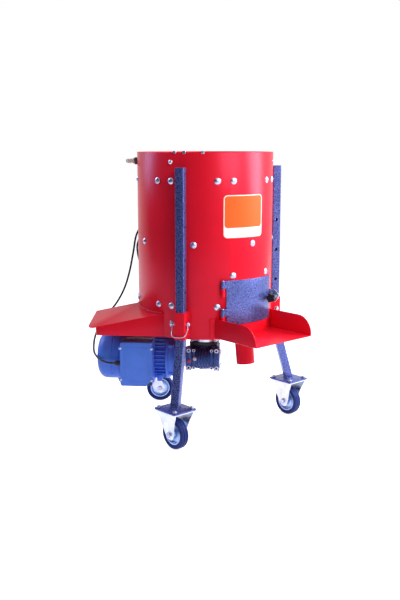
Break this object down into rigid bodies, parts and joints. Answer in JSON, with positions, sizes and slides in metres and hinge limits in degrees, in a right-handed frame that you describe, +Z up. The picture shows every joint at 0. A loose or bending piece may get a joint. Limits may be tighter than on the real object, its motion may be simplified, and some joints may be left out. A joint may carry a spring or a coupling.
{
  "type": "walnut peeling machine",
  "caption": "Upright steel drum on splayed legs with casters, a side door over a tray, a slanted outlet and a worm gear motor under a sheet hood.",
  "frame": {"origin": "middle of the machine's box at floor height, its leads left out", "axes": "+Z up along the drum, -Y towards the door and tray, +X to the right of someone facing the door"},
  "size_m": [0.689, 1.0685, 0.924],
  "materials": {
    "red_paint": "gloss red paint",
    "hammered_paint": "hammered grey-blue paint",
    "zinc": "bright zinc plate",
    "steel": "ground steel",
    "motor_paint": "satin blue paint",
    "gearbox_casting": "dark casting",
    "black_plastic": "matte black",
    "pale_plastic": "pale plastic",
    "cord_rubber": "matte black rubber",
    "tyre": "black rubber tread",
    "blue_rim": "bluish plated rim",
    "bronze": "machined bronze"
  },
  "bodies": {
    "machine": {"axle_front_left": "zinc", "axle_front_right": "zinc", "bearing_housing": "zinc", "cable_gland": "motor_paint", "caster_fork_front_left": "zinc", "caster_fork_front_right": "zinc", "caster_plate_rear": "zinc", "discharge_tray": "red_paint", "drum_floor": "red_paint", "drum_shell": "red_paint", "fan_cover": "motor_paint", "gearbox_cover": "gearbox_casting", "gearbox_housing": "gearbox_casting", "inlet_nipple": "pale_plastic", "inlet_nut": "black_plastic", "latch_bracket": "zinc", "leg_front_left": "hammered_paint", "leg_front_right": "hammered_paint", "leg_rear": "hammered_paint", "liner_plate_1": "steel", "liner_plate_2": "steel", "liner_plate_3": "steel", "liner_plate_4": "steel", "liner_plate_5": "steel", "liner_plate_6": "steel", "liner_plate_7": "steel", "lock_pin_front_left": "zinc", "lock_pin_front_right": "zinc", "lock_pin_rear": "zinc", "motor_body": "motor_paint", "motor_end_shield": "motor_paint", "motor_hood": "red_paint", "motor_lead": "cord_rubber", "mounting_plate": "black_plastic", "outlet_tube": "red_paint", "spray_ring": "zinc", "supply_coil": "cord_rubber", "supply_lead": "cord_rubber", "supply_plug": "black_plastic", "switch_box": "black_plastic", "terminal_box_lid": "motor_paint"},
    "door": {"door": "hammered_paint"},
    "latch_screw": {"latch_knob": "black_plastic"},
    "disc_drive": {"peeling_disc": "steel", "output_shaft": "zinc", "worm_wheel": "bronze"},
    "motor_rotor": {"motor_shaft": "steel", "cooling_fan": "black_plastic"},
    "switch_handle": {"switch_knob": "red_paint"},
    "rear_swivel_fork": {"caster_fork_rear": "zinc", "axle_rear": "zinc"},
    "keeper_front_left": {"pin_keeper_front_left": "zinc"},
    "wheel_front_left": {"rim_front_left": "blue_rim", "tyre_front_left": "tyre"},
    "keeper_front_right": {"pin_keeper_front_right": "zinc"},
    "wheel_front_right": {"rim_front_right": "blue_rim", "tyre_front_right": "tyre"},
    "keeper_rear": {"pin_keeper_rear": "zinc"},
    "wheel_rear": {"rim_rear": "blue_rim", "tyre_rear": "tyre"}
  },
  "joints": [
    {"name": "door_hinge", "type": "hinge", "parent": "machine", "child": "door", "pos_m": [-0.07659, -0.19909, 0.386], "axis": [0, 0, -1], "range_deg": [0, 80]},
    {"name": "latch_knob_turn", "type": "hinge", "parent": "door", "child": "latch_screw", "pos_m": [0.13517, -0.2189, 0.455], "axis": [0.9135, 0.4067, 0], "continuous": true},
    {"name": "disc_spin", "type": "hinge", "parent": "machine", "child": "disc_drive", "pos_m": [0.03471, 0.00675, 0.374], "axis": [0, 0, 1], "continuous": true},
    {"name": "motor_spin", "type": "hinge", "parent": "machine", "child": "motor_rotor", "pos_m": [-0.00245, -0.02671, 0.236], "axis": [-0.6691, 0.7431, 0], "continuous": true},
    {"name": "switch_turn", "type": "hinge", "parent": "machine", "child": "switch_handle", "pos_m": [0.03471, 0.32205, 0.7955], "axis": [0, 1, 0], "range_deg": [0, 90]},
    {"name": "rear_swivel", "type": "hinge", "parent": "machine", "child": "rear_swivel_fork", "pos_m": [0.03471, 0.31075, 0.1239], "axis": [0, 0, 1], "continuous": true},
    {"name": "keeper_swing_front_left", "type": "hinge", "parent": "machine", "child": "keeper_front_left", "pos_m": [-0.17833, -0.11625, 0.39], "axis": [-0.5, 0.866, 0], "range_deg": [0, 110]},
    {"name": "keeper_swing_front_right", "type": "hinge", "parent": "machine", "child": "keeper_front_right", "pos_m": [0.24775, -0.11625, 0.39], "axis": [-0.5, -0.866, 0], "range_deg": [0, 110]},
    {"name": "keeper_swing_rear", "type": "hinge", "parent": "machine", "child": "keeper_rear", "pos_m": [0.03471, 0.25275, 0.39], "axis": [1, 0, 0], "range_deg": [0, 110]},
    {"name": "wheel_spin_front_left", "type": "hinge", "parent": "machine", "child": "wheel_front_left", "pos_m": [-0.22856, -0.14525, 0.05], "axis": [1, 0, 0], "continuous": true},
    {"name": "wheel_spin_front_right", "type": "hinge", "parent": "machine", "child": "wheel_front_right", "pos_m": [0.29798, -0.14525, 0.05], "axis": [1, 0, 0], "continuous": true},
    {"name": "wheel_spin_rear", "type": "hinge", "parent": "rear_swivel_fork", "child": "wheel_rear", "pos_m": [0.06138, 0.28657, 0.05], "axis": [0.6717, 0.7408, 0], "continuous": true}
  ],
  "couplings": [
    {"joint": "motor_spin", "follows": "disc_spin", "ratio": 10}
  ]
}
